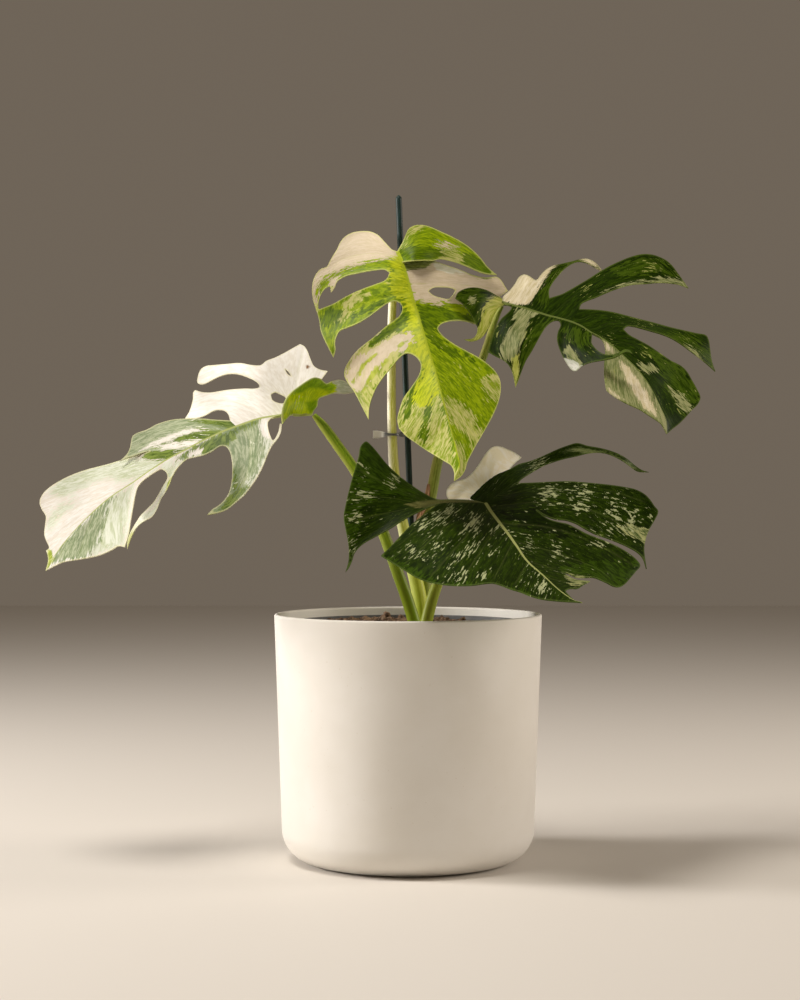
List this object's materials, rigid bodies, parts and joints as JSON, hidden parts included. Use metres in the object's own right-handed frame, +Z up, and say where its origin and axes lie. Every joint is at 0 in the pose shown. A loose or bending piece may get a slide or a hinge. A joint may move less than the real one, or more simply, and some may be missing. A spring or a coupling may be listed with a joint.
{
  "type": "potted monstera",
  "caption": "Young variegated split-leaf monstera on a slim stake, growing in a dark nursery pot set inside a plain matte cream cover pot.",
  "frame": {"origin": "The centre of the cover pot's flat foot, on the surface it stands on.", "axes": "+Z is up along the pot's axis. +X is to the right and -Y towards the viewer, as the plant was seen."},
  "size_m": [0.5641, 0.305, 0.5495],
  "materials": {
    "cover_pot": "matte cream-white",
    "nursery_pot": "satin black plastic",
    "soil": "crumbly brown potting mix",
    "stake": "dark blue-green coated, finely ridged",
    "tie": "dark grey soft ribbon",
    "stalk_green": "smooth, green",
    "stalk_cream": "smooth, cream and yellow-green",
    "dried_sheath": "papery, orange-brown",
    "leaf_left": "satin, creamy white marbled with grey-green",
    "leaf_top": "satin, yellow-green and cream",
    "leaf_right": "satin, dark green with cream parts",
    "leaf_front": "satin, dark green flecked with cream"
  },
  "bodies": {
    "root": {"cover_pot": "cover_pot", "nursery_pot": "nursery_pot", "soil": "soil", "stake": "stake", "tie": "tie", "petiole_left": "stalk_green", "petiole_top": "stalk_cream", "petiole_right": "stalk_green", "petiole_front": "stalk_green", "dried_sheath": "dried_sheath", "leaf_left": "leaf_left", "leaf_top": "leaf_top", "leaf_right": "leaf_right", "leaf_front": "leaf_front"}
  },
  "joints": []
}
